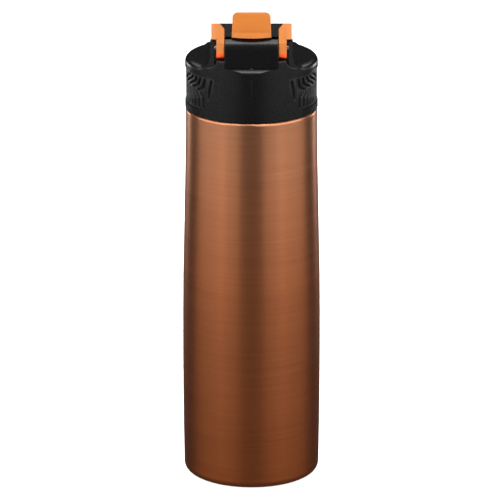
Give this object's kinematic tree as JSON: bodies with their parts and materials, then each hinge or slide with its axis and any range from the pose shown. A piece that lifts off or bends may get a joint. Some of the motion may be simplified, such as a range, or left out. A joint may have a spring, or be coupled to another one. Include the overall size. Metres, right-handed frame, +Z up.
{
  "type": "insulated water bottle",
  "caption": "Double-wall steel water bottle with a copper-coloured brushed finish, screw-on black lid, soft tread grips and a flip cap with a thumb tab over its spout.",
  "frame": {"origin": "centre of the foot ring, on the surface that the bottle stands on", "axes": "+Z up along the bottle's axis; the flip cap is hinged on the -Y side and opens towards -Y; the drinking spout is on the +Y side of the hinge"},
  "size_m": [0.074, 0.0738, 0.2615],
  "materials": {
    "copper_lacquer": "brushed round the body, then a clear copper-coloured lacquer",
    "bare_steel": "drawn 18/8 stainless steel, electropolished",
    "base_rubber": "thin non-slip pad",
    "seal_metal": "braze-sealed evacuation cap",
    "getter_metal": "pressed metal powder",
    "black_polypropylene": "satin injection moulded",
    "sleeve_polypropylene": "injection moulded",
    "spout_polypropylene": "polished, food grade",
    "clear_silicone": "translucent food-grade silicone",
    "plug_silicone": "grey food-grade silicone",
    "black_elastomer": "moulded thermoplastic elastomer with treads",
    "pin_steel": "ground stainless pin",
    "orange_plastic": "satin injection moulded acetal"
  },
  "bodies": {
    "bottle": {"outer_shell": "copper_lacquer", "inner_liner": "bare_steel", "outer_base": "bare_steel", "base_cover": "base_rubber", "vacuum_seal": "seal_metal", "getter_pellet": "getter_metal"},
    "seal": {"mouth_gasket": "clear_silicone"},
    "lid": {"lid_shell": "black_polypropylene", "thread_sleeve": "sleeve_polypropylene", "spout": "spout_polypropylene", "spout_gasket": "clear_silicone", "vent_valve": "clear_silicone", "grip_right": "black_elastomer", "grip_left": "black_elastomer", "hinge_pin_right": "pin_steel", "hinge_pin_left": "pin_steel"},
    "flip_cap": {"cap_shell": "black_polypropylene", "hinge_yoke": "orange_plastic", "spout_carrier": "sleeve_polypropylene", "spout_plug": "plug_silicone"}
  },
  "joints": [
    {"name": "lid_rise", "type": "slide", "parent": "bottle", "child": "seal", "axis": [0, 0, 1], "range_m": [0, 0.01001]},
    {"name": "lid_turn", "type": "hinge", "parent": "seal", "child": "lid", "pos_m": [0, 0, 0.214], "axis": [0, 0, 1], "range_deg": [0, 720]},
    {"name": "cap_flip", "type": "hinge", "parent": "lid", "child": "flip_cap", "pos_m": [0, -0.0256, 0.2427], "axis": [1, 0, 0], "range_deg": [0, 90]}
  ],
  "couplings": [
    {"joint": "lid_rise", "follows": "lid_turn", "m_per_rad": 0.00079577}
  ]
}
